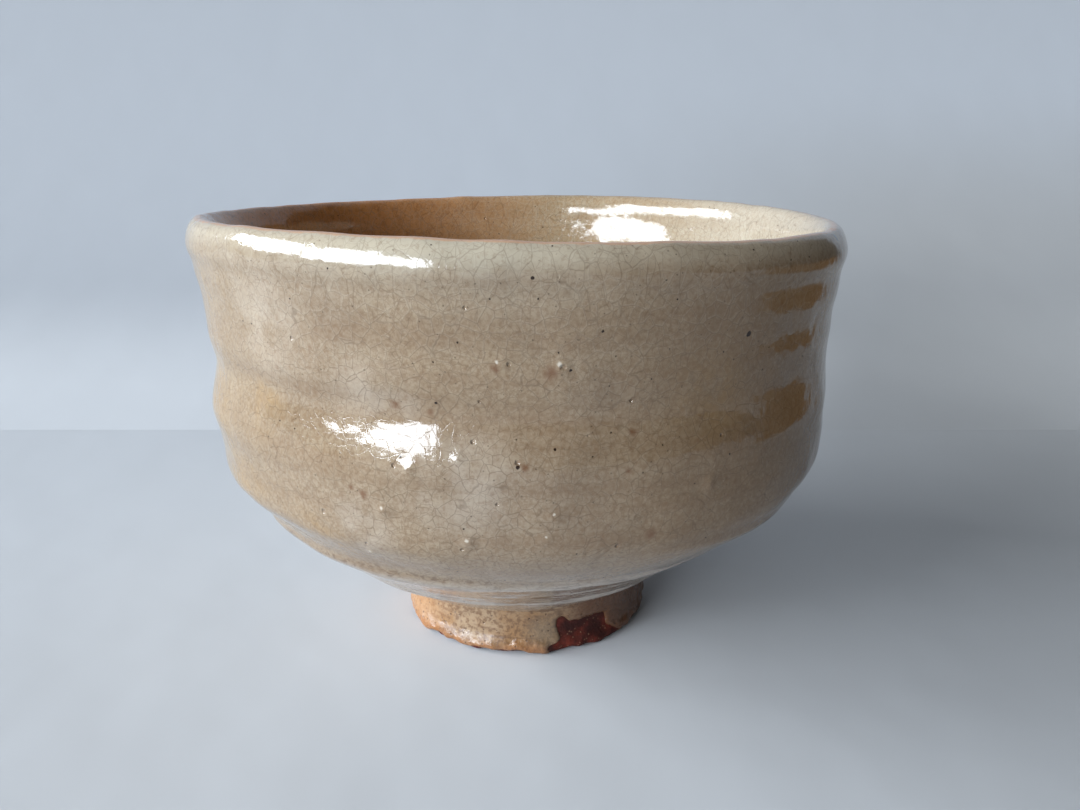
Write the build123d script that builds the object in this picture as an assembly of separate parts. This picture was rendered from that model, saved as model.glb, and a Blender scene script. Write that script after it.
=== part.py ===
from build123d import *
import os

# A hand-thrown stoneware tea bowl (matcha chawan), standing on its foot ring.
# Millimetres, +Z up. The origin is on the table, under the axis of the bowl.
# The pieces are bodies of different material that meet face to face:
# the thrown clay bowl, the clay foot ring luted under it, and their glaze coats.

# Driving dimensions
HEIGHT = 83.0                # table to the crest of the lip
CREST_RADIUS = 58.0          # highest line of the lip
LIP_RADIUS = 60.5            # widest point of the rolled lip
LIP_DROP = 3.9               # from the crest down to the widest point
INNER_LIP_RADIUS = 55.6      # inner face where the lip's inner roll starts
BELLY_RADIUS = 59.7          # soft ridge round the belly
WAIST_RADIUS = 58.7          # gentle throwing hollow above the belly
FLOOR_HEIGHT = 14.8          # table to the glazed floor inside, at the centre
WELL_HEIGHT = 8.5            # table to the clay ceiling inside the foot ring
GLAZE = 0.6                  # coat on the outer and inner faces
LIP_GLAZE = 0.3              # the coat runs thin on the crest
FOOT_GLAZE = 0.4             # coat on the side of the foot ring
FOOT_RADIUS = 25.5           # outer face of the foot ring
FOOT_INNER_RADIUS = 19.5
FOOT_WAIST = 0.5             # the foot draws in by this much half way up
FOOT_EDGE = 1.5              # rounding of the contact edges; the coat ends above it
FOOT_OFFSET = 1.5            # the foot was trimmed this far off the bowl's axis
FOOT_BLANK_TOP = 13.0        # blanks reach into the bowl's floor before they are cut
THUMB_ANGLE = -63.0          # bare patch where the bowl was held for dipping
THUMB_WIDTH = 11.0
THUMB_BOTTOM = 1.0
THUMB_TOP = 7.2
THUMB_CORNER = 1.8

UPRIGHT = (0, 1)
DOWNRIGHT = (0, -1)
LEVEL_INWARD = (-1, 0)
HIP_SLOPE = (1.5, 1)

# Outer face of the finished bowl (radius, height), from inside the foot to the lip,
# and the directions in which it starts and ends
OUTER_ENDS = (HIP_SLOPE, UPRIGHT)
OUTER = [
    (22.0, 8.0),
    (25.0, 10.0),
    (32.4, 15.0),
    (40.8, 21.0),
    (50.6, 29.0),
    (57.3, 37.5),
    (BELLY_RADIUS, 48.0),
    (WAIST_RADIUS, 58.5),
    (59.4, 68.0),
    (LIP_RADIUS, HEIGHT - LIP_DROP),
]
# Inner face of the finished bowl, from under the crest to the centre of the floor
INNER_ENDS = (DOWNRIGHT, LEVEL_INWARD)
INNER = [
    (INNER_LIP_RADIUS, HEIGHT - 4.2),
    (54.6, 69.0),
    (54.2, 59.0),
    (54.0, 48.0),
    (51.0, 36.5),
    (40.5, 25.0),
    (24.0, 17.2),
    (0.0, FLOOR_HEIGHT),
]


def at(station):
    radius, height = station
    return Vector(radius, 0, height)


def line(start, end):
    return Line(at(start), at(end))


def face_curve(stations, ends=()):
    """One smooth face in section, which may start and end in given directions."""
    places = [at(station) for station in stations]
    return Spline(*places, tangents=[at(direction) for direction in ends])


def quarter_turn(start, corner, end):
    """A rounded corner in section, close to a quarter of an ellipse."""
    pull = 0.55
    near_start = at(start) + (at(corner) - at(start)) * pull
    near_end = at(end) + (at(corner) - at(end)) * pull
    return Bezier(at(start), near_start, near_end, at(end))


def lip_roll(edge, crest_height):
    """The turn from the upper edge of one face over to the crest."""
    crest = (CREST_RADIUS, crest_height)
    return quarter_turn(edge, (edge[0], crest_height), crest)


def under_glaze(stations, ends):
    """Stations moved square to their curve, through the glaze to the clay."""
    curve = face_curve(stations, ends)
    moved = []
    for station in stations:
        along = curve.tangent_at(curve.param_at_point(at(station)))
        place = at(station) + Vector(-along.Z, 0, along.X) * GLAZE
        moved.append((max(place.X, 0.0), place.Z))
    return moved


def turned(*edges):
    """Revolve a closed section round the axis of the bowl."""
    return revolve(make_face(edges), Axis.Z, 360)


CLAY_OUTER = under_glaze(OUTER, OUTER_ENDS)
CLAY_INNER = under_glaze(INNER, INNER_ENDS)
CLAY_CREST = HEIGHT - LIP_GLAZE


def clay_bowl():
    well_centre = (0, WELL_HEIGHT)
    well_edge = (CLAY_OUTER[0][0], WELL_HEIGHT)
    return turned(
        line(well_centre, well_edge),
        line(well_edge, CLAY_OUTER[0]),
        face_curve(CLAY_OUTER, OUTER_ENDS),
        lip_roll(CLAY_OUTER[-1], CLAY_CREST),
        lip_roll(CLAY_INNER[0], CLAY_CREST),
        face_curve(CLAY_INNER, INNER_ENDS),
        line(CLAY_INNER[-1], well_centre),
    )


def coat(face, clay_face, ends, lip_index, far_index):
    """The glaze between one finished face and the clay, up to the crest."""
    return turned(
        line(clay_face[far_index], face[far_index]),
        face_curve(face, ends),
        lip_roll(face[lip_index], HEIGHT),
        line((CREST_RADIUS, HEIGHT), (CREST_RADIUS, CLAY_CREST)),
        lip_roll(clay_face[lip_index], CLAY_CREST),
        face_curve(clay_face, ends),
    )


def foot_ring_blank():
    """The clay foot, turned on its own axis, with rounded contact edges."""
    inner, outer = FOOT_INNER_RADIUS, FOOT_RADIUS
    ring = turned(
        line((inner + FOOT_EDGE, 0), (outer - FOOT_EDGE, 0)),
        quarter_turn((outer - FOOT_EDGE, 0), (outer, 0), (outer, FOOT_EDGE)),
        foot_side(outer),
        line((outer + FOOT_WAIST, FOOT_BLANK_TOP), (inner, FOOT_BLANK_TOP)),
        line((inner, FOOT_BLANK_TOP), (inner, FOOT_EDGE)),
        quarter_turn((inner, FOOT_EDGE), (inner, 0), (inner + FOOT_EDGE, 0)),
    )
    return Pos(FOOT_OFFSET, 0, 0) * ring


def foot_side(radius):
    """The foot's outer face in section, drawn in a little half way up."""
    return face_curve([
        (radius, FOOT_EDGE),
        (radius - FOOT_WAIST, FOOT_BLANK_TOP / 2),
        (radius + FOOT_WAIST, FOOT_BLANK_TOP),
    ])


def foot_plug(radius):
    """A solid of the foot's outer shape, for cutting coats to the foot."""
    plug = turned(
        line((0, FOOT_EDGE), (radius, FOOT_EDGE)),
        foot_side(radius),
        line((radius + FOOT_WAIST, FOOT_BLANK_TOP), (0, FOOT_BLANK_TOP)),
        line((0, FOOT_BLANK_TOP), (0, FOOT_EDGE)),
    )
    return Pos(FOOT_OFFSET, 0, 0) * plug


def thumb_window():
    """The bare patch, as a round-cornered block that crosses the foot's coat."""
    size = (THUMB_WIDTH, THUMB_TOP - THUMB_BOTTOM)
    outline = Plane.YZ * RectangleRounded(*size, THUMB_CORNER)
    block = extrude(outline, 2 * FOOT_RADIUS)
    middle = (THUMB_TOP + THUMB_BOTTOM) / 2
    return Pos(FOOT_OFFSET, 0, middle) * Rot(0, 0, THUMB_ANGLE) * block


def main():
    bowl = clay_bowl()
    whole_outer_coat = coat(OUTER, CLAY_OUTER, OUTER_ENDS, -1, 0)
    coated_foot = foot_plug(FOOT_RADIUS + FOOT_GLAZE)
    foot_coat = coated_foot - foot_plug(FOOT_RADIUS) - bowl - whole_outer_coat
    pieces = {
        "clay_bowl": bowl,
        "foot_ring": foot_ring_blank() - bowl,
        "outer_glaze": whole_outer_coat - coated_foot,
        "inner_glaze": coat(INNER, CLAY_INNER, INNER_ENDS, 0, -1),
        "foot_glaze": foot_coat - thumb_window(),
    }
    os.makedirs("parts", exist_ok=True)
    for name, piece in pieces.items():
        export_step(piece, f"parts/{name}.step")
        box = piece.bounding_box()
        print(name, len(piece.solids()), round(piece.volume), box.min, box.max)


main()
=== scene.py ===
"""A hand-thrown stoneware matcha bowl with a crackled beige glaze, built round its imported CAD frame.

Lengths are millimetres in the shape code and metres in Blender. The CAD nodes give every size: rays
cast at them give the section of the bowl and of its foot, and the hand of the potter (throwing rings,
trimming, an uneven lip, pits) is added to that section as small moves along the surface's normal.
"""
import math

import bmesh
import bpy
import numpy as np
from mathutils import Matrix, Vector
from mathutils.bvhtree import BVHTree


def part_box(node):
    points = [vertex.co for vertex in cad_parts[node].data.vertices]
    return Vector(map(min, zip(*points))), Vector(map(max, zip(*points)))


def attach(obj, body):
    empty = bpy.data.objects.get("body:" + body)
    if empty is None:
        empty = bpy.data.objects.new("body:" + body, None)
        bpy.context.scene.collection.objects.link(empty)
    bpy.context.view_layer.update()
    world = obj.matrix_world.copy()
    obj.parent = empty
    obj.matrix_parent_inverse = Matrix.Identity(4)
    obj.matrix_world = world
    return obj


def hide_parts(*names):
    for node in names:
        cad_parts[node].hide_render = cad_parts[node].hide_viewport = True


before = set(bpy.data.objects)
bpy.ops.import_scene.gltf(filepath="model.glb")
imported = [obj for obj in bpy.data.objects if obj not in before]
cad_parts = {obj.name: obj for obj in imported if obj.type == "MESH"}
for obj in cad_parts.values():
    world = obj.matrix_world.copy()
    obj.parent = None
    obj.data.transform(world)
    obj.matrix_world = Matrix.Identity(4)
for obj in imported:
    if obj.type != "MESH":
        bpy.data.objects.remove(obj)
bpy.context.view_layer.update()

MM = 0.001
FULL_TURN = 2 * math.pi


# ---------------------------------------------------------------- reading the frame

def cad_skin(node):
    """The CAD node's surface, ready for rays."""
    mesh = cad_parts[node].data
    corners = [vertex.co for vertex in mesh.vertices]
    faces = [tuple(polygon.vertices) for polygon in mesh.polygons]
    return BVHTree.FromPolygons(corners, faces)


def strike(skin, start, toward):
    """Where a ray in the XZ plane meets the skin, as (x, z) in millimetres."""
    origin = Vector((start[0], 0, start[1])) * MM
    direction = Vector((toward[0], 0, toward[1])).normalized()
    place = skin.ray_cast(origin, direction)[0]
    return place.x / MM, place.z / MM


outer_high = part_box("outer_glaze")[1]
HEIGHT = outer_high.z / MM
LIP_RADIUS = outer_high.x / MM
CREST_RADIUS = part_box("inner_glaze")[1].x / MM
GLAZE = LIP_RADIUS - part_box("clay_bowl")[1].x / MM
FLOOR_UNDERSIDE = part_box("clay_bowl")[0].z / MM
JOINT_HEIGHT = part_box("foot_glaze")[1].z / MM
outer_skin = cad_skin("outer_glaze")
inner_skin = cad_skin("inner_glaze")
foot_skin = cad_skin("foot_ring")
coat_skin = cad_skin("foot_glaze")
LOW_PROBE, MIDDLE_PROBE = 2.0, 4.0   # heights at which rays measure the foot
FOOT_RIGHT = strike(foot_skin, (CREST_RADIUS, LOW_PROBE), (-1, 0))[0]
FOOT_LEFT = strike(foot_skin, (-CREST_RADIUS, LOW_PROBE), (1, 0))[0]
FOOT_AXIS = (FOOT_RIGHT + FOOT_LEFT) / 2
FOOT_RADIUS = (FOOT_RIGHT - FOOT_LEFT) / 2
FOOT_INNER_RADIUS = strike(foot_skin, (FOOT_AXIS, MIDDLE_PROBE), (1, 0))[0] - FOOT_AXIS
FOOT_GLAZE = strike(coat_skin, (CREST_RADIUS, MIDDLE_PROBE), (-1, 0))[0]
FOOT_GLAZE -= strike(foot_skin, (CREST_RADIUS, MIDDLE_PROBE), (-1, 0))[0]


# ---------------------------------------------------------------- curves and fields

def cubic(knots, values):
    """A function that runs smoothly through the values: a natural cubic spline."""
    gap = np.diff(knots)
    count = len(knots)
    system = np.eye(count)
    target = np.zeros(count)
    for i in range(1, count - 1):
        system[i, i - 1:i + 2] = gap[i - 1], 2 * (gap[i - 1] + gap[i]), gap[i]
        rise = (values[i + 1] - values[i]) / gap[i]
        target[i] = 6 * (rise - (values[i] - values[i - 1]) / gap[i - 1])
    bend = np.linalg.solve(system, target)

    def value(at):
        at = np.asarray(at, float)
        i = np.clip(np.searchsorted(knots, at) - 1, 0, count - 2)
        left, right = at - knots[i], knots[i + 1] - at
        straight = (values[i] / gap[i] - bend[i] * gap[i] / 6) * right
        straight += (values[i + 1] / gap[i] - bend[i + 1] * gap[i] / 6) * left
        return straight + (bend[i] * right ** 3 + bend[i + 1] * left ** 3) / (6 * gap[i])

    return value


class Section:
    """A smooth line in the (radius, height) plane, measured along its length."""

    def __init__(self, stations):
        points = np.array(stations, float)
        steps = np.hypot(*np.diff(points, axis=0).T)
        self.knots = np.concatenate([[0], np.cumsum(steps)])
        self.length = self.knots[-1]
        self.radius = cubic(self.knots, points[:, 0])
        self.height = cubic(self.knots, points[:, 1])

    def at(self, along):
        """Radius, height and the unit normal to the left of the direction of travel."""
        step = 0.02
        before = np.clip(along - step, 0, self.length)
        after = np.clip(along + step, 0, self.length)
        dr = self.radius(after) - self.radius(before)
        dz = self.height(after) - self.height(before)
        size = np.hypot(dr, dz)
        return self.radius(along), self.height(along), dz / size, -dr / size


def field(points, feature, seed, stretch=(1, 1, 1), waves=48):
    """Smooth noise of about unit height, with features of that many millimetres."""
    rng = np.random.default_rng(seed)
    direction = rng.normal(size=(3, waves))
    direction /= np.linalg.norm(direction, axis=0)
    pace = rng.uniform(0.6, 1.4, waves) * FULL_TURN / (2 * feature)
    turns = (points / np.array(stretch)) @ (direction * pace)
    turns += rng.uniform(0, FULL_TURN, waves)
    return np.sin(turns).sum(-1) * math.sqrt(2 / waves)


def hump(values, centre, width):
    return np.exp(-((values - centre) / width) ** 2)


def ramp(values, low, high):
    """0 below low, 1 above high, and smooth between."""
    t = np.clip((values - low) / (high - low), 0, 1)
    return t * t * (3 - 2 * t)


def around(angle, centre):
    """Angle from the centre, in degrees, from -180 to 180."""
    return (np.degrees(angle) - centre + 180) % 360 - 180


# ---------------------------------------------------------------- the bowl's surface

def bowl_stations():
    """The finished section from the foot, over the lip, to the centre of the floor."""
    far = -2 * LIP_RADIUS   # rays come from the left, where the off-centre foot cuts off least
    clear = 9   # how far from the lip's centre the rays at the lip start
    outside = np.array([0.118, 0.15, 0.19, 0.25, 0.32, 0.40, 0.49, 0.58, 0.67, 0.76, 0.85, 0.92])
    stations = [strike(outer_skin, (far, h), (1, 0)) for h in outside * HEIGHT]
    stations = [(-x, z) for x, z in stations]
    lip_centre = np.array([CREST_RADIUS, HEIGHT - (LIP_RADIUS - CREST_RADIUS)])
    for turn in np.radians([0, 25, 50, 72]):
        away = np.array([math.cos(turn), math.sin(turn)])
        stations.append(strike(outer_skin, lip_centre + away * clear, -away))
    stations.append((CREST_RADIUS, HEIGHT))
    for turn in np.radians([110, 132, 156, 180]):
        away = np.array([math.cos(turn), math.sin(turn)])
        stations.append(strike(inner_skin, lip_centre + away * clear, -away))
    inside = np.array([0.86, 0.76, 0.66, 0.56, 0.47, 0.39, 0.32, 0.27])
    stations += [strike(inner_skin, (0, h), (1, 0)) for h in inside * HEIGHT]
    floor = np.array([0.40, 0.30, 0.20, 0.10])
    stations += [strike(inner_skin, (r, HEIGHT), (0, -1)) for r in floor * LIP_RADIUS]
    stations.append((0.0, strike(inner_skin, (0.01, HEIGHT), (0, -1))[1]))
    return stations


bowl = Section(bowl_stations())
fine = np.linspace(0, bowl.length, 8000)
CREST = fine[np.argmax(bowl.height(fine))]


def rim_wave(angle):
    """How far the crest stands above or below its mean height: lowest at the front right."""
    wave = -0.45 * np.cos(angle) + 0.25 * np.sin(angle)
    return wave - 0.3 * np.cos(2 * angle) + 0.55 * np.sin(2 * angle)


def profile_change(*knots):
    """A smooth change of radius with height, from (height, change) pairs in millimetres."""
    heights, changes = np.array(knots, float).T
    return cubic(heights, changes)


# How far each side of the bowl stands out from a true circle
LEFT_SIDE = profile_change(
    (8, 0.0), (14, 1.4), (20, 2.3), (25, 1.6), (30, -0.3), (33, -1.2), (38, 0.2),
    (43, -1.1), (50, -0.4), (57, 0.0), (64, 0.0), (70, -1.0), (76, -0.5), (84, 0.2),
)
RIGHT_SIDE = profile_change(
    (8, 0.0), (15, 0.5), (21, -1.0), (27, -3.5), (31.5, -1.2), (38, 1.1),
    (47, 0.2), (57, 0.8), (65, 0.3), (72, -0.3), (77, -0.2), (84, 0.4),
)


# The finger groove inside, just under the lip, and the swelling below it
UNDER_LIP = profile_change((30, 0.0), (66, 0.0), (73, 0.0), (77.2, -0.16), (79.6, 0.0), (84, 0.0))
SWELLING = profile_change((30, 0.0), (45, 0.1), (58, 0.3), (66, 0.5), (72.5, 0.44), (77.4, 0), (84, 0))


def out_of_round(angle, height):
    left = (0.5 - 0.5 * np.cos(angle)) ** 2
    right = (0.5 + 0.5 * np.cos(angle)) ** 2
    return left * LEFT_SIDE(height) + right * RIGHT_SIDE(height)


# Blisters in the outer glaze: angle, height, radius
BLISTERS = [
    (-91, 66.9, 1.0), (-83, 66.6, 1.2), (-108, 44.8, 1.1), (-96, 40.6, 1.3), (-84, 45.2, 1.0),
    (-104, 51.5, 1.2), (-97, 53.5, 0.9), (-85, 41.6, 0.9), (-112, 36.2, 1.0), (-61, 47.5, 1.1),
]


def blistered(angle, height):
    """Bubbles that stand up from the glaze."""
    rise = 0.0
    for degrees, level, radius in BLISTERS:
        across = np.radians(around(angle, degrees)) * CREST_RADIUS
        reach = np.hypot(across, height - level)
        rise = rise + 0.30 * radius * hump(reach, 0, 0.7 * radius)
    return rise


GROOVE_ANGLE = -125     # where the groove round the wall is deepest
GROOVE_HEIGHT = 58.8
PARING_HEIGHT = 29.8    # where the paring starts
LEDGE_HEIGHT = 35.0     # a second edge, on the right
SWELLING_ANGLE = 60     # where the inside swells under the lip


def thrown(angle, height, points):
    """The outside wall's throwing rings and hand-made unevenness, in millimetres."""
    front_left = 0.5 + 0.5 * np.cos(angle - math.radians(GROOVE_ANGLE))
    past = around(angle, GROOVE_ANGLE)
    far_left = ramp(np.abs(past), 0, 16) * ramp(-past, -2, 2)
    groove = (0.15 + 0.88 * front_left ** 1.5) * hump(height, GROOVE_HEIGHT, 3.3 + 1.6 * far_left)
    rings = 0.12 * hump(height, 51.5, 3.0) - groove
    spiral = np.sin(FULL_TURN * (height / 6.4 - angle / FULL_TURN))
    rings += 0.05 * spiral * ramp(height, 32, 42) * (1 - ramp(height, 70, 78))
    rings += 0.16 * hump(height, 72.5 + 0.8 * np.cos(angle + 2), 2.2)
    rings -= 0.08 * hump(height, 75.4 + 0.8 * np.cos(angle + 2), 1.6)
    rings += 0.36 * hump(height, 78.9, 2.2)   # the roll of the rim
    uneven = 0.16 * field(points, 30, 3) + 0.07 * field(points, 12, 4)
    uneven += 0.03 * field(points, 4.5, 5) + 0.008 * field(points, 1.8, 6)
    return rings + uneven + blistered(angle, height)


def trimmed(angle, height, points):
    """The pared hip: the edge where the paring starts, a ledge on the right, and tool lines."""
    edge = PARING_HEIGHT + 0.8 * np.sin(angle - 0.4) + 0.5 * field(points, 20, 14)
    below = edge - height
    pared = 0.55 * np.exp(-(np.maximum(below, 0) / 2.6) ** 2 - (np.minimum(below, 0) / 1.2) ** 2)
    pared -= 0.5 * hump(below, 8.0, 4.0)
    at_right = ramp(around(angle, -78), 0, 30) * (1 - ramp(around(angle, 20), 0, 30))
    below = LEDGE_HEIGHT + 0.6 * field(points, 14, 15) - height
    ledge = np.exp(-(np.maximum(below, 0) / 2.4) ** 2 - (np.minimum(below, 0) / 0.9) ** 2)
    pared += 0.5 * at_right * ledge
    facet = 0.16 * field(points, 9, 11, stretch=(2.5, 2.5, 0.8))
    lines = 0.07 * field(points, 1.6, 12, stretch=(16, 16, 1))
    lines += 0.05 * field(points, 0.8, 13, stretch=(14, 14, 1))
    return pared + facet * (1 - ramp(height, 26, 36)) + lines * (1 - ramp(height, 17, 30))


def inside_throwing(angle, height, radius, points):
    """The inside: slow rings, a finger groove under the lip and a swelling at the back right."""
    rings = 0.10 * np.sin(FULL_TURN * (height / 9.0 - angle / FULL_TURN))
    rings *= ramp(height, 24, 34) * (1 - ramp(height, 64, 72))
    floor_rings = 0.10 * np.sin(FULL_TURN * (radius / 7.0 + angle / FULL_TURN))
    rings += floor_rings * ramp(radius, 3, 10) * (1 - ramp(height, 18, 26))
    uneven = 0.18 * field(points, 26, 21) + 0.05 * field(points, 9, 22)
    level = np.clip(height, 30, 84)
    past = around(angle, SWELLING_ANGLE)
    swollen = ramp(past, -13, -7) * (1 - ramp(past, 8, 13))
    return rings + uneven + 0.02 * field(points, 4, 23) + UNDER_LIP(level) + swollen * SWELLING(level)


def bowl_surface(angle, along, depth=0.0):
    """Points of the bowl at a depth under its finished surface, in millimetres."""
    radius, height, nr, nz = bowl.at(along)
    points = np.stack(
        [radius * np.cos(angle), radius * np.sin(angle), height + 0 * angle], -1
    )
    outside = along < CREST
    to_lip = np.abs(along - CREST)
    calm = ramp(to_lip, 0.0, 7.0)
    move_out = thrown(angle, height, points) + trimmed(angle, height, points)
    move_in = inside_throwing(angle, height, radius, points)
    centre = ramp(radius, 0.0, 6.0)
    move = np.where(outside, move_out, move_in * centre) * calm
    move += 0.05 * field(points, 5, 31) * (1 - calm)
    radius = radius + nr * (move - depth)
    radius = radius + np.where(outside, out_of_round(angle, height), 0.0)
    height = height + nz * (move - depth) + rim_wave(angle) * ramp(height, 48, 83)
    return np.stack([radius * np.cos(angle), radius * np.sin(angle), height + 0 * angle], -1)


# ---------------------------------------------------------------- meshes

def skin(name, points, poles=False, sharp=50, from_crest=None):
    """A closed skin from rows of points that each go once round the axis.

    Without poles the last row joins the first. With poles the first and last rows are single points.
    Each row may carry its distance from the crest of the lip, for the material.
    """
    rows, count = points.shape[:2]
    j = np.arange(count)
    beside = (j + 1) % count
    i = np.arange(rows - 1 if poles else rows)[:, None]
    this, following = i * count, (i + 1) % rows * count
    faces = np.stack([this + j, this + beside, following + beside, following + j], -1)
    if poles:
        points[0], points[-1] = points[0].mean(0), points[-1].mean(0)
    mesh = bpy.data.meshes.new(name)
    mesh.from_pydata((points.reshape(-1, 3) * MM).tolist(), [], faces.reshape(-1, 4).tolist())
    if from_crest is not None:
        layer = mesh.attributes.new("from_crest", "FLOAT", "POINT")
        layer.data.foreach_set("value", np.repeat(from_crest, count).astype(np.float32))
    if poles:
        shape = bmesh.new()
        shape.from_mesh(mesh)
        shape.verts.ensure_lookup_table()
        ends = shape.verts[:count] + shape.verts[-count:]
        bmesh.ops.remove_doubles(shape, verts=ends, dist=1e-7)
        shape.to_mesh(mesh)
        shape.free()
    mesh.shade_smooth()
    mesh.set_sharp_from_angle(angle=math.radians(sharp))
    piece = bpy.data.objects.new(name, mesh)
    bpy.context.scene.collection.objects.link(piece)
    return piece


def turns(count):
    return np.arange(count) * FULL_TURN / count


def spaced(start, end, step):
    return np.linspace(start, end, max(2, round(abs(end - start) / step) + 1))


def bowl_rows(angles, along, depth):
    """Rows of the bowl's points, one for each place along the section."""
    turn, place = np.meshgrid(angles, along)
    return bowl_surface(turn, place, np.broadcast_to(depth, along.shape)[:, None])


def glaze_depth(along):
    """How thick the coat is: thin on the crest, full on the wall."""
    return GLAZE * (0.45 + 0.55 * ramp(np.abs(along - CREST), 0, 6))


CLEARANCE = 0.03   # a hair between a coat and what backs it
LIP_REACH = 9      # how far from the crest the finer rows reach


def make_outer_coat():
    angles = turns(540)
    wall = spaced(0, CREST - LIP_REACH, 0.66)
    lip = spaced(CREST - LIP_REACH, CREST, 0.36)
    front = np.concatenate([wall, lip[1:]])
    back = spaced(CREST, 0, 4.5)
    rows = bowl_rows(angles, front, 0.0), bowl_rows(angles, back, glaze_depth(back))
    away = np.abs(np.concatenate([front, back]) - CREST)
    return skin("outer_glaze_coat", np.concatenate(rows), from_crest=away)


def make_inner_coat():
    angles = turns(480)
    back = spaced(bowl.length, CREST, 5.0)
    lip = spaced(CREST, CREST + LIP_REACH, 0.36)
    wall = spaced(CREST + LIP_REACH, bowl.length, 0.8)
    front = np.concatenate([lip, wall[1:]])
    rows = bowl_rows(angles, back, glaze_depth(back)), bowl_rows(angles, front, 0.0)
    away = np.abs(np.concatenate([back, front]) - CREST)
    return skin("inner_glaze_coat", np.concatenate(rows), poles=True, from_crest=away)


def make_clay_bowl():
    """The clay under both coats, with a pared ceiling over the foot's well."""
    angles = turns(300)
    along = spaced(0, bowl.length, 1.2)
    body = bowl_rows(angles, along, glaze_depth(along) + CLEARANCE)
    edge = body[0]
    shares = np.linspace(0, 1, 40)[:-1, None, None]
    ceiling = edge * shares
    reach = np.hypot(ceiling[..., 0], ceiling[..., 1])
    cone = 0.9 * hump(reach, 0, 3.2)
    marks = 0.10 * np.sin(FULL_TURN * (reach / 2.6 - angles / FULL_TURN)) * ramp(reach, 2, 5)
    meeting = ramp(reach, FOOT_INNER_RADIUS + 2, FOOT_RADIUS)
    ceiling[..., 2] = FLOOR_UNDERSIDE * (1 - meeting) + edge[:, 2] * meeting
    ceiling[..., 2] -= (cone + marks) * (1 - meeting)
    return skin("clay_bowl_body", np.concatenate([ceiling, body]), poles=True)


# ---------------------------------------------------------------- the foot

def foot_stations():
    """The foot's section about its own axis: down the well's wall, across, up the outside."""
    far = CREST_RADIUS
    clear = 8   # how far from the corners of the contact ring their rays start
    inset = 2.0   # how far inside the clay those corners' centres lie
    hits = [strike(foot_skin, (FOOT_AXIS, h), (1, 0)) for h in (7.5, 5.0, 3.0)]
    inner_corner = np.array([FOOT_AXIS + FOOT_INNER_RADIUS + inset, inset])
    outer_corner = np.array([FOOT_AXIS + FOOT_RADIUS - inset, inset])
    for corner, sweep in ((inner_corner, (200, 225, 250)), (outer_corner, (290, 315, 340))):
        for turn in np.radians(sweep):
            away = np.array([math.cos(turn), math.sin(turn)])
            hits.append(strike(foot_skin, corner + away * clear, -away))
    hits += [strike(foot_skin, (far, h), (-1, 0)) for h in (3.0, 5.0, 7.5, 10.0)]
    stations = [(r - FOOT_AXIS, h) for r, h in hits]
    top_inner = (stations[0][0], FLOOR_UNDERSIDE + 1.0)
    top_outer = (stations[-1][0] + 0.1, JOINT_HEIGHT + 1.0)
    return [top_inner, *stations, top_outer]


foot = Section(foot_stations())


THUMB_ANGLE = -63.0    # the bare patch, seen from the foot's axis
THUMB_HALF_WIDTH = 12.0
THUMB_TOP = 6.7
SPREAD_ANGLE = -140.0  # where the contact ring spreads a little


def foot_surface(angle, along, lift=0.0):
    """Points of the foot's clay, lifted along its normal, in millimetres."""
    radius, height, nr, nz = foot.at(along)
    points = np.stack(
        [radius * np.cos(angle), radius * np.sin(angle), height + 0 * angle], -1
    )
    low = 1 - ramp(height, 1.5, 5.5)
    lumps = 0.13 * field(points, 3.2, 41) + 0.08 * field(points, 1.5, 42)
    turned_lines = 0.05 * field(points, 1.4, 43, stretch=(12, 12, 1))
    move = lumps * low + turned_lines + 0.16 * field(points, 12, 44)
    thumb = hump(around(angle, THUMB_ANGLE), 0, 13) * hump(height, 4.8, 3.0)
    move = move - 0.35 * thumb * (nr > 0.5)
    spread = 0.7 * hump(around(angle, SPREAD_ANGLE), 0, 30) * (1 - ramp(height, 1.0, 6.5))
    spread = spread * ramp(radius, FOOT_INNER_RADIUS + 1, FOOT_RADIUS)
    radius = radius + nr * (move + lift) + spread
    height = np.maximum(height + nz * (move + lift), 0.0)
    x = FOOT_AXIS + radius * np.cos(angle)
    return np.stack([x, radius * np.sin(angle), height], -1)


def coat_margin(angle, along):
    """How far inside the foot's coat a place is, in millimetres; negative is bare clay."""
    height = foot.height(along)
    points = np.stack([25 * np.cos(angle), 25 * np.sin(angle), height], -1)
    ragged = field(points, 1.6, 51)
    edge = 0.45 + 0.25 * ragged + 0.25 * field(points, 6, 52)
    side = np.abs(around(angle, THUMB_ANGLE)) - THUMB_HALF_WIDTH
    side -= 7.0 * (1 - ramp(height, 1.2, 3.6))
    across = np.radians(side) * FOOT_RADIUS
    above = height - THUMB_TOP
    window = np.maximum(across, above) + 0.3 * ragged + 0.5 * field(points, 4, 53)
    return np.minimum(height - edge, window)


def make_foot_ring():
    turn, along = np.meshgrid(turns(440), spaced(0, foot.length, 0.36))
    return skin("foot_ring_clay", foot_surface(turn, along))


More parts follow.
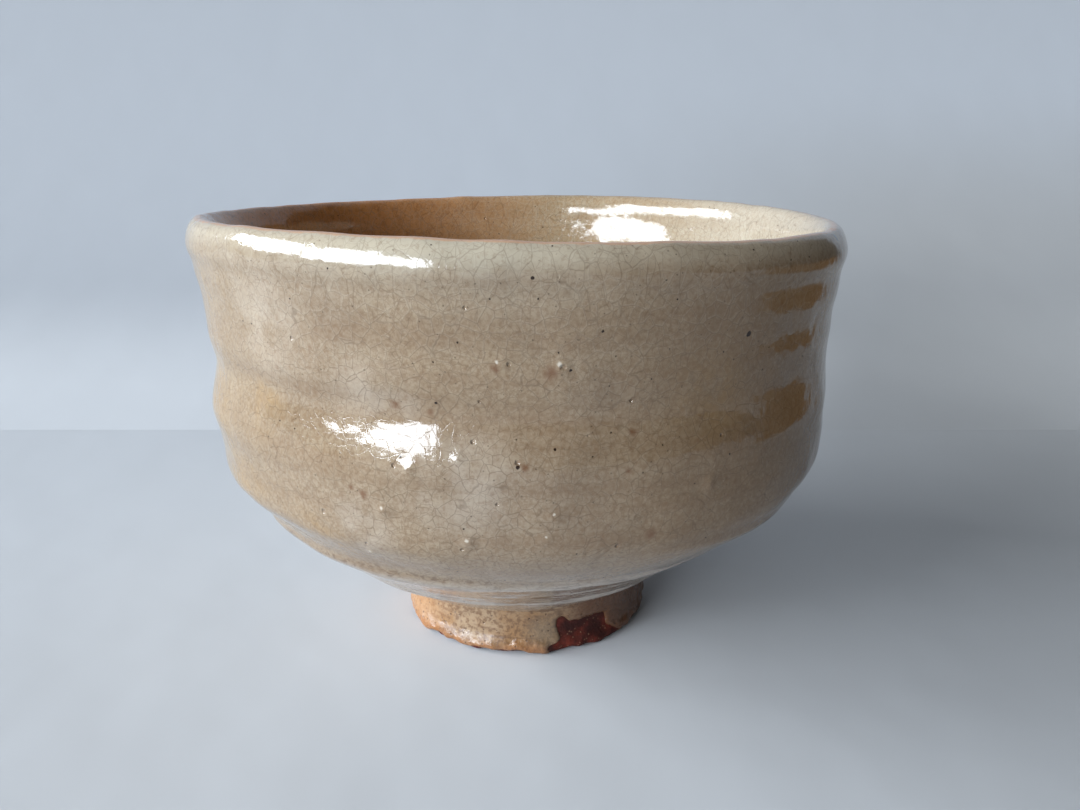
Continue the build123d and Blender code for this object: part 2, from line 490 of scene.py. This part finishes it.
def make_foot_coat():
    """The thin coat on the foot's side, thinning to nothing round its bare patch."""
    start = foot.length * 0.5   # half way across the contact ring
    turn, along = np.meshgrid(turns(560), spaced(start, foot.length, 0.28))
    margin = coat_margin(turn, along)
    for axis, shift in ((1, 1), (1, -1), (0, 1), (0, -1)):
        near_turn, near_along = np.roll(turn, shift, axis), np.roll(along, shift, axis)
        near = np.roll(margin, shift, axis)
        if axis == 0:
            near[0 if shift == 1 else -1] = -1
        snap = (margin < 0) & (near > 0)
        share = np.where(snap, margin / (margin - near - 1e-9), 0)
        turn = turn + share * ((near_turn - turn + math.pi) % FULL_TURN - math.pi)
        along = along + share * (near_along - along)
        margin = np.where(snap, 0.0, margin)
    thickness = FOOT_GLAZE * (1 - np.exp(-np.maximum(margin, 0) / 0.6))
    points = foot_surface(turn, along, thickness + CLEARANCE)
    rows, count = margin.shape
    j = np.arange(count)
    beside = (j + 1) % count
    i = np.arange(rows - 1)[:, None] * count
    faces = np.stack([i + j, i + beside, i + count + beside, i + count + j], -1).reshape(-1, 4)
    faces = faces[(margin.reshape(-1)[faces] >= 0).all(1)]
    used, faces = np.unique(faces, return_inverse=True)
    mesh = bpy.data.meshes.new("foot_glaze_coat")
    corners = points.reshape(-1, 3)[used] * MM
    mesh.from_pydata(corners.tolist(), [], faces.reshape(-1, 4).tolist())
    mesh.shade_smooth()
    piece = bpy.data.objects.new("foot_glaze_coat", mesh)
    bpy.context.scene.collection.objects.link(piece)
    shell = piece.modifiers.new("shell", "SOLIDIFY")
    shell.thickness = 0.12 * MM
    shell.offset = -1
    return piece


# ---------------------------------------------------------------- materials

def paint(red, green, blue):
    """A colour given as 0 to 255 display values."""
    def linear(value):
        value /= 255
        return value / 12.92 if value <= 0.04045 else ((value + 0.055) / 1.055) ** 2.4
    return linear(red), linear(green), linear(blue), 1.0


class Nodes:
    """Short ways to add shader nodes to a node tree."""

    def add(self, kind, inputs=None, **settings):
        node = self.tree.nodes.new(kind)
        for key, value in settings.items():
            setattr(node, key, value)
        for key, value in (inputs or {}).items():
            if isinstance(value, bpy.types.NodeSocket):
                self.tree.links.new(value, node.inputs[key])
            else:
                node.inputs[key].default_value = value
        return node

    def math(self, operation, a, b=0.0, c=0.0):
        return self.add("ShaderNodeMath", {0: a, 1: b, 2: c}, operation=operation).outputs[0]

    def ramp(self, value, low, high, start=0.0, end=1.0):
        """Start below low, end above high, and smooth between."""
        inputs = {"Value": value, "From Min": low, "From Max": high}
        inputs |= {"To Min": start, "To Max": end}
        node = self.add("ShaderNodeMapRange", inputs, interpolation_type="SMOOTHSTEP")
        return node.outputs["Result"]


class Material(Nodes):
    """A node material in which lengths are millimetres."""

    def __init__(self, name):
        self.material = bpy.data.materials.new(name)
        self.material.use_nodes = True
        self.tree = self.material.node_tree
        self.tree.nodes.clear()
        place = self.add("ShaderNodeTexCoord").outputs["Object"]
        self.place = self.vector("SCALE", place, scale=1 / MM)
        self.east, north, self.height = self.add("ShaderNodeSeparateXYZ", {0: self.place}).outputs
        self.aslant = self.add("ShaderNodeCombineXYZ", {2: self.east}).outputs[0]
        angle = self.math("ARCTAN2", north, self.east)
        self.angle = self.math("MULTIPLY", angle, 180 / math.pi)

    def vector(self, operation, a, b=(0, 0, 0), scale=1.0):
        inputs = {0: a, 3: scale} if operation == "SCALE" else {0: a, 1: b}
        node = self.add("ShaderNodeVectorMath", inputs, operation=operation)
        return node.outputs["Value" if operation == "DISTANCE" else "Vector"]

    def mix(self, share, a, b):
        """Colour a, with that share of colour b."""
        return self.add("ShaderNodeMix", {0: share, 6: a, 7: b}, data_type="RGBA").outputs[2]

    def off(self, degrees):
        """How many degrees round the bowl from that angle."""
        return self.math("ABSOLUTE", self.math("SUBTRACT", self.angle, degrees))

    def stretched(self, x, y, z):
        """The place with its axes scaled, so that patterns draw out along the small ones."""
        return self.vector("MULTIPLY", self.place, (x, y, z))

    def noise(self, feature, detail=2.0, place=None, roughness=0.5):
        inputs = {"Vector": place or self.place, "Scale": 1 / feature}
        inputs |= {"Detail": detail, "Roughness": roughness}
        return self.add("ShaderNodeTexNoise", inputs).outputs[0]

    def warped(self, reach, feature, place=None):
        """The place pushed about by noise, so that patterns laid on it lose their straight lines."""
        inputs = {"Vector": place or self.place, "Scale": 1 / feature, "Detail": 2.0}
        push = self.add("ShaderNodeTexNoise", inputs).outputs["Color"]
        push = self.vector("SUBTRACT", push, (0.5, 0.5, 0.5))
        push = self.vector("SCALE", push, scale=2 * reach)
        return self.vector("ADD", place or self.place, push)

    def cracks(self, cell, width, place):
        """1 on the edges of cells of that size, 0 away from them."""
        inputs = {"Vector": place, "Scale": 1 / cell}
        node = self.add("ShaderNodeTexVoronoi", inputs, feature="DISTANCE_TO_EDGE")
        return self.ramp(node.outputs["Distance"], 0.0, width / cell, 1.0, 0.0)

    def dots(self, spacing, size, soft=0.5, place=None):
        """1 in round spots scattered through the clay, up to that radius."""
        inputs = {"Vector": place or self.place, "Scale": 1 / spacing}
        distance = self.add("ShaderNodeTexVoronoi", inputs).outputs["Distance"]
        inner, outer = size * (1 - soft) / spacing, size / spacing
        return self.ramp(distance, inner, outer, 1.0, 0.0)

    def spot(self, centre, radius, soft=0.6, place=None):
        """1 in one spot about a point of the surface."""
        away = self.vector("DISTANCE", place or self.place, tuple(centre))
        return self.ramp(away, radius * (1 - soft), radius, 1.0, 0.0)

    def total(self, values):
        """The greatest of the values."""
        result = values[0]
        for value in values[1:]:
            result = self.math("MAXIMUM", result, value)
        return result

    def finish(self, colour, roughness, relief, **sockets):
        """Joins a Principled shader; relief is the surface's height in millimetres."""
        bump = self.add("ShaderNodeBump", {"Height": relief, "Distance": MM})
        inputs = {"Base Color": colour, "Roughness": roughness, "Normal": bump.outputs[0]}
        shader = self.add("ShaderNodeBsdfPrincipled", inputs | sockets)
        self.add("ShaderNodeOutputMaterial", {"Surface": shader.outputs[0]})
        return self.material


def on_wall(degrees, height):
    """The point of the outside wall at an angle and a height."""
    outside = fine[fine < CREST]
    along = outside[np.argmin(np.abs(bowl.height(outside) - height))]
    return bowl_surface(np.array(math.radians(degrees)), np.array(along))


# Single marks that the potter and the kiln left, and spots of painted highlight: angle, height, radius
PITS = [
    (-90, 66.9, 0.45), (-83, 66.6, 0.6), (-95, 55.9, 0.45), (-106, 52.0, 0.4), (-89, 53.2, 0.45),
    (-119, 42.4, 0.5), (-122, 68.2, 0.4), (-112, 38.3, 0.4), (-97, 39.2, 0.4), (-75, 39.5, 0.45),
]
MILKY_PATCHES = [(-97, 50, 13), (-109, 60, 11), (-112, 41, 8), (-128, 70, 14)]
OCHRE_PATCHES = [(-152, 54, 12), (-131, 57, 7), (-121, 36, 9), (-140, 40, 9), (-60, 60, 10)]
# Painted highlights: pale spots that stand for the glints of light on the blisters
PAINTED_GLINTS = [
    (-91.6, 67.2, 0.4), (-83.5, 67.0, 0.5), (-96.2, 41.0, 0.4), (-108.3, 45.2, 0.4),
    (-104.2, 51.9, 0.35), (-112.2, 36.6, 0.35), (-85.2, 42.0, 0.3), (-84.2, 45.6, 0.3),
]
IRON_SPECKS = [
    (-55, 69.5, 0.55), (-25, 55.7, 0.8), (-30, 82.0, 0.8), (-87, 78.6, 0.3), (-82, 66.1, 0.28),
    (-89, 52.6, 0.35), (-84, 55.0, 0.25), (-100, 61.0, 0.25), (-78, 71.5, 0.25),
]
RUSTY_SPOTS = [
    (-84.5, 65.8, 1.3), (-91.8, 66.2, 0.8),
    (-73, 56.6, 0.9), (-74, 51.4, 0.7), (-70, 40.9, 1.1), (-106, 60.3, 0.9), (-101, 59.6, 0.7),
    (-111, 46.9, 0.9), (-113, 47.8, 0.6), (-88, 52.6, 0.8),
]


def clouded(m, tones):
    """The glaze's ground: cream where it is thick, brown where it is thin."""
    cream, beige, grey, brown = tones
    middle = m.noise(6.5, 3, roughness=0.6)
    grain = m.noise(0.65, 4, roughness=0.62)
    band = m.noise(3.2, 2, m.stretched(0.07, 0.07, 1))
    colour = m.mix(m.ramp(m.noise(28, 1), 0.38, 0.62), beige, grey)
    colour = m.mix(m.ramp(middle, 0.40, 0.70, 0.0, 0.45), colour, cream)
    colour = m.mix(m.ramp(band, 0.42, 0.66, 0.0, 0.30), colour, brown)
    return m.mix(m.ramp(grain, 0.38, 0.64, 0.0, 0.50), colour, brown)


def crackled(m, colour, marked):
    """Adds the crackle, a painted highlight along one side of its lines, the iron specks and the pits,
    and gives their relief in millimetres.

    A marked glaze also has the outer wall's single marks.
    """
    mottle = m.noise(0.7, 4, roughness=0.62)
    colour = m.mix(m.ramp(mottle, 0.30, 0.48, 0.12, 0.0), colour, paint(192, 178, 156))
    colour = m.mix(m.ramp(mottle, 0.52, 0.70, 0.0, 0.30), colour, paint(118, 88, 62))
    ragged = m.warped(0.16, 0.45)
    bent = m.warped(0.30, 1.6)
    patchy = m.noise(5, 2)
    net = m.cracks(2.1, 0.10, bent)
    net = m.math("MULTIPLY", net, m.ramp(patchy, 0.36, 0.58, 0.5, 1.0))
    net = m.math("MULTIPLY", net, m.ramp(m.height, 72, 80, 1.0, 0.5))
    hair = m.cracks(1.35, 0.06, bent)
    hair = m.math("MULTIPLY", hair, m.ramp(patchy, 0.58, 0.42, 0.2, 0.8))
    upright = m.cracks(2.9, 0.08, m.warped(0.5, 2.5, m.stretched(1, 1, 0.5)))
    upright = m.math("MULTIPLY", upright, m.ramp(m.height, 68, 76, 0.0, 0.8))
    crack = m.total([net, hair, upright])
    # Painted highlight: a pale copy of the crack net, shifted to one side, lights one edge of each
    # crack
    beside = m.cracks(2.1, 0.24, m.vector("ADD", bent, (0.10, 0.0, -0.10)))
    beside = m.math("MULTIPLY", beside, m.ramp(m.height, 55, 80, 0.02, 0.10))
    colour = m.mix(beside, colour, paint(208, 198, 180))
    colour = m.mix(m.math("MULTIPLY", crack, 0.40), colour, paint(82, 60, 42))

    stains = m.math("MULTIPLY", m.dots(5.0, 0.7, 0.9, ragged), 0.5)
    irons = [m.math("MULTIPLY", m.dots(1.5, 0.17, 0.6, ragged), 0.55), m.dots(3.0, 0.20, 0.6, ragged)]
    pits = [m.dots(7.5, 0.34, 0.9, ragged)]
    if marked:
        torn = m.warped(0.55, 0.9)
        marks = [m.spot(on_wall(a, h), 1.2 * r, 0.9, torn) for a, h, r in RUSTY_SPOTS]
        stains = m.math("MAXIMUM", stains, m.math("MULTIPLY", m.total(marks), 1.2))
        irons += [m.spot(on_wall(a, h), r, 0.4, ragged) for a, h, r in IRON_SPECKS]
        pits += [m.spot(on_wall(a, h), r, 0.9, ragged) for a, h, r in PITS]
    pit = m.total(pits)
    colour = m.mix(m.math("MULTIPLY", stains, 0.6), colour, paint(106, 70, 46))
    colour = m.mix(m.total(irons), colour, paint(44, 31, 24))
    colour = m.mix(m.math("MULTIPLY", pit, 0.3), colour, paint(108, 76, 54))
    relief = m.math("MULTIPLY", m.noise(2.6, 1), 0.09)
    relief = m.math("MULTIPLY_ADD", m.noise(0.75, 2), 0.022, relief)
    relief = m.math("MULTIPLY_ADD", crack, -0.006, relief)
    return colour, m.math("MULTIPLY_ADD", pit, -0.22, relief)


def crest_distance(m):
    """The distance from the crest of the lip, in millimetres."""
    return m.add("ShaderNodeAttribute", attribute_name="from_crest").outputs["Fac"]


def glossy(m, colour, relief):
    """The wet shine of the melted glaze."""
    roughness = m.ramp(m.noise(5, 2), 0.3, 0.7, 0.05, 0.10)
    return m.finish(colour, roughness, relief, **{"Specular IOR Level": 0.5, "IOR": 1.52})


def crest_line(m, colour, reach):
    """The thin peach line where the glaze ran off the lip."""
    crest = m.math("MULTIPLY_ADD", m.noise(1.8, 3), 0.9, crest_distance(m))
    return m.mix(m.ramp(crest, reach, reach + 0.45, 0.8, 0.0), colour, paint(192, 146, 112))


def patched(m, colour):
    """Adds the milky and ochre patches, painted light that lightens and yellows the left side, and
    painted shade that darkens the front right brown.
    """
    milky = m.total([m.spot(on_wall(a, h), r, 1.0) for a, h, r in MILKY_PATCHES])
    ochre = m.total([m.spot(on_wall(a, h), r, 1.0) for a, h, r in OCHRE_PATCHES])
    ochre = m.math("MULTIPLY", ochre, m.ramp(m.noise(4, 3), 0.35, 0.62, 0.1, 0.6))
    colour = m.mix(ochre, colour, paint(156, 124, 80))
    milky = m.math("MULTIPLY", milky, m.ramp(m.noise(6, 3), 0.35, 0.62, 0.05, 0.55))
    colour = m.mix(milky, colour, paint(184, 172, 157))
    # Painted light: the window-lit left side lightened towards yellow
    painted_light_left = m.ramp(m.math("ABSOLUTE", m.angle), 108, 165, 0.0, 0.35)
    colour = m.mix(painted_light_left, colour, paint(170, 145, 104))
    # Painted shade: the front right, turned from the window, darkened brown
    right = m.ramp(m.off(-34), 15, 60, 0.55, 0.0)
    colour = m.mix(right, colour, paint(118, 91, 63))
    return colour


def pale_lip(m, colour, wander):
    """Adds the paler, greyer band where the glaze is thick round the lip."""
    lip = m.math("MULTIPLY", m.ramp(wander, 79.5, 84.0), 0.6)
    lip = m.math("MULTIPLY_ADD", m.ramp(wander, 72, 86), 0.4, lip)
    front = m.ramp(m.off(-95), 8, 34, 0.8, 0.34)
    pale = m.mix(m.ramp(m.angle, -94, -72), paint(178, 171, 155), paint(184, 169, 148))
    colour = m.mix(m.math("MULTIPLY", lip, front), colour, pale)
    colour = m.mix(m.ramp(crest_distance(m), 2.2, 5.0, 0.45, 0.0), colour, paint(190, 178, 156))
    return colour


def pared_hip(m, colour, wander):
    """Whitens the pared hip, partly as a painted reflection of the pale floor, adds its brown tool
    strokes, and gives the strokes' mask as well.
    """
    # The pale band here stands partly for a painted reflection of the pale floor below the hip
    low = m.ramp(m.math("MULTIPLY_ADD", m.noise(4, 3), 3.0, m.height), 30.2, 32.0, 1.0, 0.0)
    colour = m.mix(m.math("MULTIPLY", low, 0.65), colour, paint(180, 169, 157))
    across = m.noise(0.75, 3, m.stretched(0.05, 0.05, 1))
    slanted = m.vector("ADD", m.place, m.vector("SCALE", m.aslant, scale=0.16))
    slanted = m.noise(0.8, 3, m.vector("MULTIPLY", slanted, (0.06, 0.06, 1)))
    tool = m.total([m.ramp(across, 0.57, 0.63), m.ramp(slanted, 0.57, 0.63)])
    tool = m.math("MULTIPLY", tool, m.ramp(m.height, 26.5, 30.5, 1.0, 0.0))
    tool = m.math("MULTIPLY", tool, m.ramp(m.noise(7, 2), 0.40, 0.56))
    colour = m.mix(m.math("MULTIPLY", tool, 0.75), colour, paint(88, 60, 45))
    spotted = m.math("ABSOLUTE", m.math("SUBTRACT", wander, 32.6))
    spotted = m.math("MULTIPLY", m.ramp(spotted, 0.2, 1.0, 1.0, 0.0), m.ramp(m.noise(0.9, 2), 0.5, 0.6))
    colour = m.mix(m.math("MULTIPLY", spotted, 0.5), colour, paint(92, 66, 48))
    return colour, tool


def outer_glaze_material():
    m = Material("crackled_beige_glaze")
    tones = paint(168, 151, 128), paint(154, 135, 111), paint(146, 129, 109), paint(122, 96, 72)
    colour = clouded(m, tones)
    colour = patched(m, colour)
    wander = m.math("MULTIPLY_ADD", m.noise(5, 3), 4.0, m.height)
    colour = pale_lip(m, colour, wander)
    colour, tool = pared_hip(m, colour, wander)
    colour, relief = crackled(m, colour, True)
    # Painted highlights: pale spots standing for glints on the blisters
    painted_glint = m.total([m.spot(on_wall(a, h), r, 0.8, m.warped(0.2, 0.5)) for a, h, r in PAINTED_GLINTS])
    colour = m.mix(m.math("MULTIPLY", painted_glint, 0.75), colour, paint(214, 205, 190))
    colour = crest_line(m, colour, 1.0)
    relief = m.math("MULTIPLY_ADD", tool, -0.05, relief)
    return glossy(m, colour, relief)


def inner_glaze_material():
    m = Material("crackled_cream_glaze")
    tones = paint(175, 163, 141), paint(162, 145, 119), paint(151, 133, 107), paint(145, 113, 78)
    colour = clouded(m, tones)
    # Lighter cream on the inner floor: pooled thick glaze, and painted light where the dim room leaves
    # the floor dark
    colour = m.mix(m.ramp(m.height, 16, 42, 0.75, 0.0), colour, paint(206, 196, 170))
    # Painted light: the inner right wall, which faces the window, whitened
    away = m.math("ABSOLUTE", m.angle)
    colour = m.mix(m.ramp(away, 25, 75, 0.5, 0.0), colour, paint(176, 170, 157))
    # Painted shade and painted warm bounced light: the inner left wall, turned from the window, tinted
    # amber with darker brown blotches
    left = m.ramp(away, 76, 136, 0.0, 0.85)
    left = m.math("MULTIPLY", left, m.ramp(m.height, 42, 68))
    colour = m.mix(left, colour, paint(208, 139, 80))
    shade_blotch = m.math("MULTIPLY", m.ramp(m.noise(2.2, 4, roughness=0.65), 0.5, 0.66), left)
    colour = m.mix(m.math("MULTIPLY", shade_blotch, 0.45), colour, paint(140, 82, 44))
    colour, relief = crackled(m, colour, False)
    colour = crest_line(m, colour, 0.3)
    return glossy(m, colour, relief)


def foot_glaze_material():
    """A thin glaze, burnt orange at the edges and muddy brown where it is thinnest, with painted light
    on its left side and painted shade darkening its right and back.
    """
    m = Material("thin_foot_glaze")
    tan, ochre, mud = paint(150, 126, 100), paint(140, 106, 72), paint(98, 70, 48)
    colour = m.mix(m.ramp(m.noise(7, 3), 0.35, 0.65), tan, ochre)
    grain = m.noise(0.9, 3, roughness=0.65)
    colour = m.mix(m.ramp(grain, 0.44, 0.60, 0.0, 0.7), colour, mud)
    streak = m.noise(0.9, 3, m.stretched(0.08, 0.08, 1))
    colour = m.mix(m.ramp(streak, 0.54, 0.64, 0.0, 0.6), colour, mud)
    # The left side's lighter orange: the glaze's own burnt orange, brightened there as painted light
    away = m.math("ABSOLUTE", m.angle)
    colour = m.mix(m.ramp(away, 118, 150, 0.0, 0.6), colour, paint(176, 128, 84))
    low = m.ramp(m.math("MULTIPLY_ADD", m.noise(3, 3), 3.0, m.height), 2.6, 5.0, 1.0, 0.0)
    colour = m.mix(m.math("MULTIPLY", low, 0.6), colour, paint(150, 98, 58))
    left_of_patch = 5, -24.5, 5.4
    pale = m.spot(left_of_patch, 6.0, 0.9)
    colour = m.mix(m.math("MULTIPLY", pale, 0.6), colour, paint(126, 111, 92))
    # Painted shade: the foot's right and back, away from the window, darkened brown
    right = m.ramp(m.angle, -76, -58)
    colour = m.mix(m.math("MULTIPLY", right, 0.85), colour, paint(98, 61, 37))
    specks = m.dots(1.3, 0.24, 0.5)
    colour = m.mix(m.math("MULTIPLY", specks, 0.7), colour, paint(64, 42, 28))
    relief = m.math("MULTIPLY", grain, 0.12)
    relief = m.math("MULTIPLY_ADD", m.math("MULTIPLY", m.noise(1.6, 2), low), 0.5, relief)
    relief = m.math("MULTIPLY_ADD", specks, -0.06, relief)
    roughness = m.ramp(m.noise(2, 2), 0.35, 0.65, 0.18, 0.42)
    return m.finish(colour, roughness, relief)


def bare_clay_material(name, dark, light, seed_place):
    m = Material(name)
    place = m.vector("ADD", m.place, seed_place)
    colour = m.mix(m.ramp(m.noise(4, 4, place), 0.35, 0.68), dark, light)
    grain = m.noise(0.7, 3, place, 0.65)
    colour = m.mix(m.ramp(grain, 0.42, 0.7, 0.0, 0.5), colour, paint(58, 30, 24))
    sand = m.dots(0.9, 0.2, 0.4, place)
    colour = m.mix(m.math("MULTIPLY", sand, 0.25), colour, paint(206, 164, 130))
    relief = m.math("MULTIPLY", grain, 0.14)
    relief = m.math("MULTIPLY_ADD", m.noise(2.2, 3, place), 0.25, relief)
    relief = m.math("MULTIPLY_ADD", sand, 0.05, relief)
    roughness = m.ramp(grain, 0.3, 0.7, 0.62, 0.85)
    return m.finish(colour, roughness, relief, **{"Specular IOR Level": 0.3})


# ---------------------------------------------------------------- the pieces

def dress(piece, material, node):
    piece.data.materials.append(material)
    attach(piece, "root")
    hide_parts(node)


dress(make_outer_coat(), outer_glaze_material(), "outer_glaze")
dress(make_inner_coat(), inner_glaze_material(), "inner_glaze")
well_clay = bare_clay_material("well_clay", paint(128, 74, 52), paint(164, 108, 78), (40, 0, 0))
dress(make_clay_bowl(), well_clay, "clay_bowl")
foot_clay = bare_clay_material("foot_clay", paint(50, 15, 10), paint(104, 38, 24), (0, 0, 0))
dress(make_foot_ring(), foot_clay, "foot_ring")
dress(make_foot_coat(), foot_glaze_material(), "foot_glaze")


# ---------------------------------------------------------------- staging, light and camera

def paper_material():
    """Matt white paper, with painted shade: darker up the wall and towards the right, and a painted
    shadow of the bowl beside it.
    """
    m = Material("pale_paper")
    tone = m.mix(m.ramp(m.noise(160, 2), 0.35, 0.65), paint(203, 206, 210), paint(207, 210, 214))
    # Painted shade: the wall, turned from the window, darker with height
    tone = m.mix(m.ramp(m.height, 2, 40), tone, paint(174, 178, 184))
    tone = m.mix(m.ramp(m.height, 40, 220), tone, paint(170, 174, 180))
    # Painted shade: the light falling off towards the right
    tone = m.mix(m.ramp(m.east, -60, 320, 0.0, 0.12), tone, paint(120, 124, 130))
    # Painted shadow of the bowl on the paper to its right, fading with height
    beside = m.math("MULTIPLY", m.ramp(m.east, -20, 200), m.ramp(m.east, 300, 700, 1.0, 0.0))
    low = m.ramp(m.height, 50, 140, 0.38, 0.0)
    tone = m.mix(m.math("MULTIPLY", beside, low), tone, paint(130, 124, 113))
    return m.finish(tone, 0.9, m.math("MULTIPLY", m.noise(30, 2), 0.4), **{"Specular IOR Level": 0.1})


def lay_paper(name, rows, material):
    """A sheet across the rows, each given as (y, z, left edge, right edge)."""
    points = [(x, y, z) for y, z, *edges in rows for x in edges]
    faces = [(2 * i, 2 * i + 1, 2 * i + 3, 2 * i + 2) for i in range(len(rows) - 1)]
    mesh = bpy.data.meshes.new(name)
    mesh.from_pydata(points, [], faces)
    mesh.shade_smooth()
    mesh.set_sharp_from_angle(angle=math.radians(7))
    mesh.materials.append(material)
    sheet = bpy.data.objects.new(name, mesh)
    bpy.context.scene.collection.objects.link(sheet)
    return sheet


def make_paper():
    """A pale sweep with a crease behind the bowl.

    Its back right corner is a sheet of its own that the glaze doesn't mirror: the bowl shows the
    wooden table there.
    """
    crease, bend, top, edge, near = 0.112, 0.30, 1.3, 1.2, -2.0
    table, table_edge, wall_edge = -0.06, 0.28, 0.5
    steps = 25
    curve = np.radians(np.linspace(10, 90, steps))
    y = crease + bend * (np.sin(curve) - np.sin(curve[0]))
    z = bend * (np.cos(curve[0]) - np.cos(curve))
    middle = np.linspace(table_edge, wall_edge, steps)
    outline = [(table, 0.0, table_edge), *zip(y, z, middle), (y[-1], top, wall_edge)]
    material = paper_material()
    lay_paper("paper_front", [(near, 0.0, -edge, edge), (table, 0.0, -edge, edge)], material)
    lay_paper("paper_sweep", [(y, z, -edge, x) for y, z, x in outline], material)
    corner = lay_paper("paper_corner", [(y, z, x, edge) for y, z, x in outline], material)
    corner.visible_glossy = False


class Room(Nodes):
    """A room seen from the bowl: dim walls, with bright or coloured patches at given bearings."""

    def __init__(self, colour, strength):
        self.world = bpy.data.worlds.new("room")
        self.world.use_nodes = True
        self.tree = self.world.node_tree
        self.tree.nodes.clear()
        self.way = self.add("ShaderNodeTexCoord").outputs["Generated"]
        up = self.add("ShaderNodeSeparateXYZ", {0: self.way}).outputs[2]
        self.elevation = self.math("MULTIPLY", self.math("ARCSINE", up), 180 / math.pi)
        self.light = self.glow(colour, strength)

    def glow(self, colour, strength):
        inputs = {"Color": colour, "Strength": strength}
        return self.add("ShaderNodeBackground", inputs).outputs[0]

    def bearing(self, centre):
        """The azimuth away from the centre, in degrees."""
        a = math.radians(centre)
        axes = (math.cos(a), math.sin(a), 0), (-math.sin(a), math.cos(a), 0)
        ahead, aside = (
            self.add("ShaderNodeVectorMath", {0: self.way, 1: axis}, operation="DOT_PRODUCT")
            for axis in axes
        )
        turn = self.math("ARCTAN2", aside.outputs["Value"], ahead.outputs["Value"])
        return self.math("MULTIPLY", turn, 180 / math.pi)

    def band(self, value, low, high, soft):
        """1 between low and high, fading over the soft distance outside."""
        above = self.ramp(value, low - soft, low)
        return self.math("MULTIPLY", above, self.ramp(value, high + soft, high))

    def hang(self, azimuths, elevations, colour, strength, soft=1.0):
        """Puts a rectangle of light between two azimuths and two elevations."""
        centre = sum(azimuths) / 2
        half = abs(azimuths[1] - azimuths[0]) / 2
        across = self.band(self.bearing(centre), -half, half, soft)
        share = self.math("MULTIPLY", across, self.band(self.elevation, *elevations, soft))
        inputs = {0: share, 1: self.light, 2: self.glow(colour, strength)}
        self.light = self.add("ShaderNodeMixShader", inputs).outputs[0]

    def finish(self, backdrop):
        """The camera sees a plain backdrop where it looks past the paper."""
        path = self.add("ShaderNodeLightPath").outputs["Is Camera Ray"]
        inputs = {0: path, 1: self.light, 2: self.glow(backdrop, 1.0)}
        seen = self.add("ShaderNodeMixShader", inputs).outputs[0]
        self.add("ShaderNodeOutputWorld", {"Surface": seen})
        bpy.context.scene.world = self.world


def make_room():
    """Window bays to the left, a dim room, a wooden table low on the right and a glow behind it."""
    daylight = (0.86, 0.93, 1.0, 1.0)
    wood = (1.0, 0.50, 0.14, 1.0)
    room = Room((1.0, 0.90, 0.76, 1.0), 0.05)
    room.hang((-116, -138), (6, 18), daylight, 21.0)
    room.hang((-136, -161), (9, 27), daylight, 21.0)
    room.hang((-164, -198), (12, 30), daylight, 18.0)
    room.hang((-30, 50), (-60, -2), wood, 0.20, soft=0.5)
    room.hang((30, 100), (25, 70), (1.0, 0.97, 0.92, 1.0), 0.20, soft=10.0)
    room.finish(paint(190, 199, 211))


def make_camera():
    """The close, slightly raised view of a phone held in front of the bowl.

    Its place is given in shares of the bowl's own size.
    """
    camera = bpy.data.cameras.new("camera")
    camera.sensor_width = 36.0
    camera.lens = 27.03   # the wide lens of a phone
    eye = bpy.data.objects.new("camera", camera)
    eye.location = Vector((0.0707 * CREST_RADIUS, -2.807 * CREST_RADIUS, 1.122 * HEIGHT)) * MM
    looking_down = 16.97
    eye.rotation_euler = (math.radians(90 - looking_down), 0, 0)
    bpy.context.scene.collection.objects.link(eye)
    bpy.context.scene.camera = eye


make_paper()
make_room()
make_camera()
bpy.context.scene.view_settings.view_transform = "Standard"
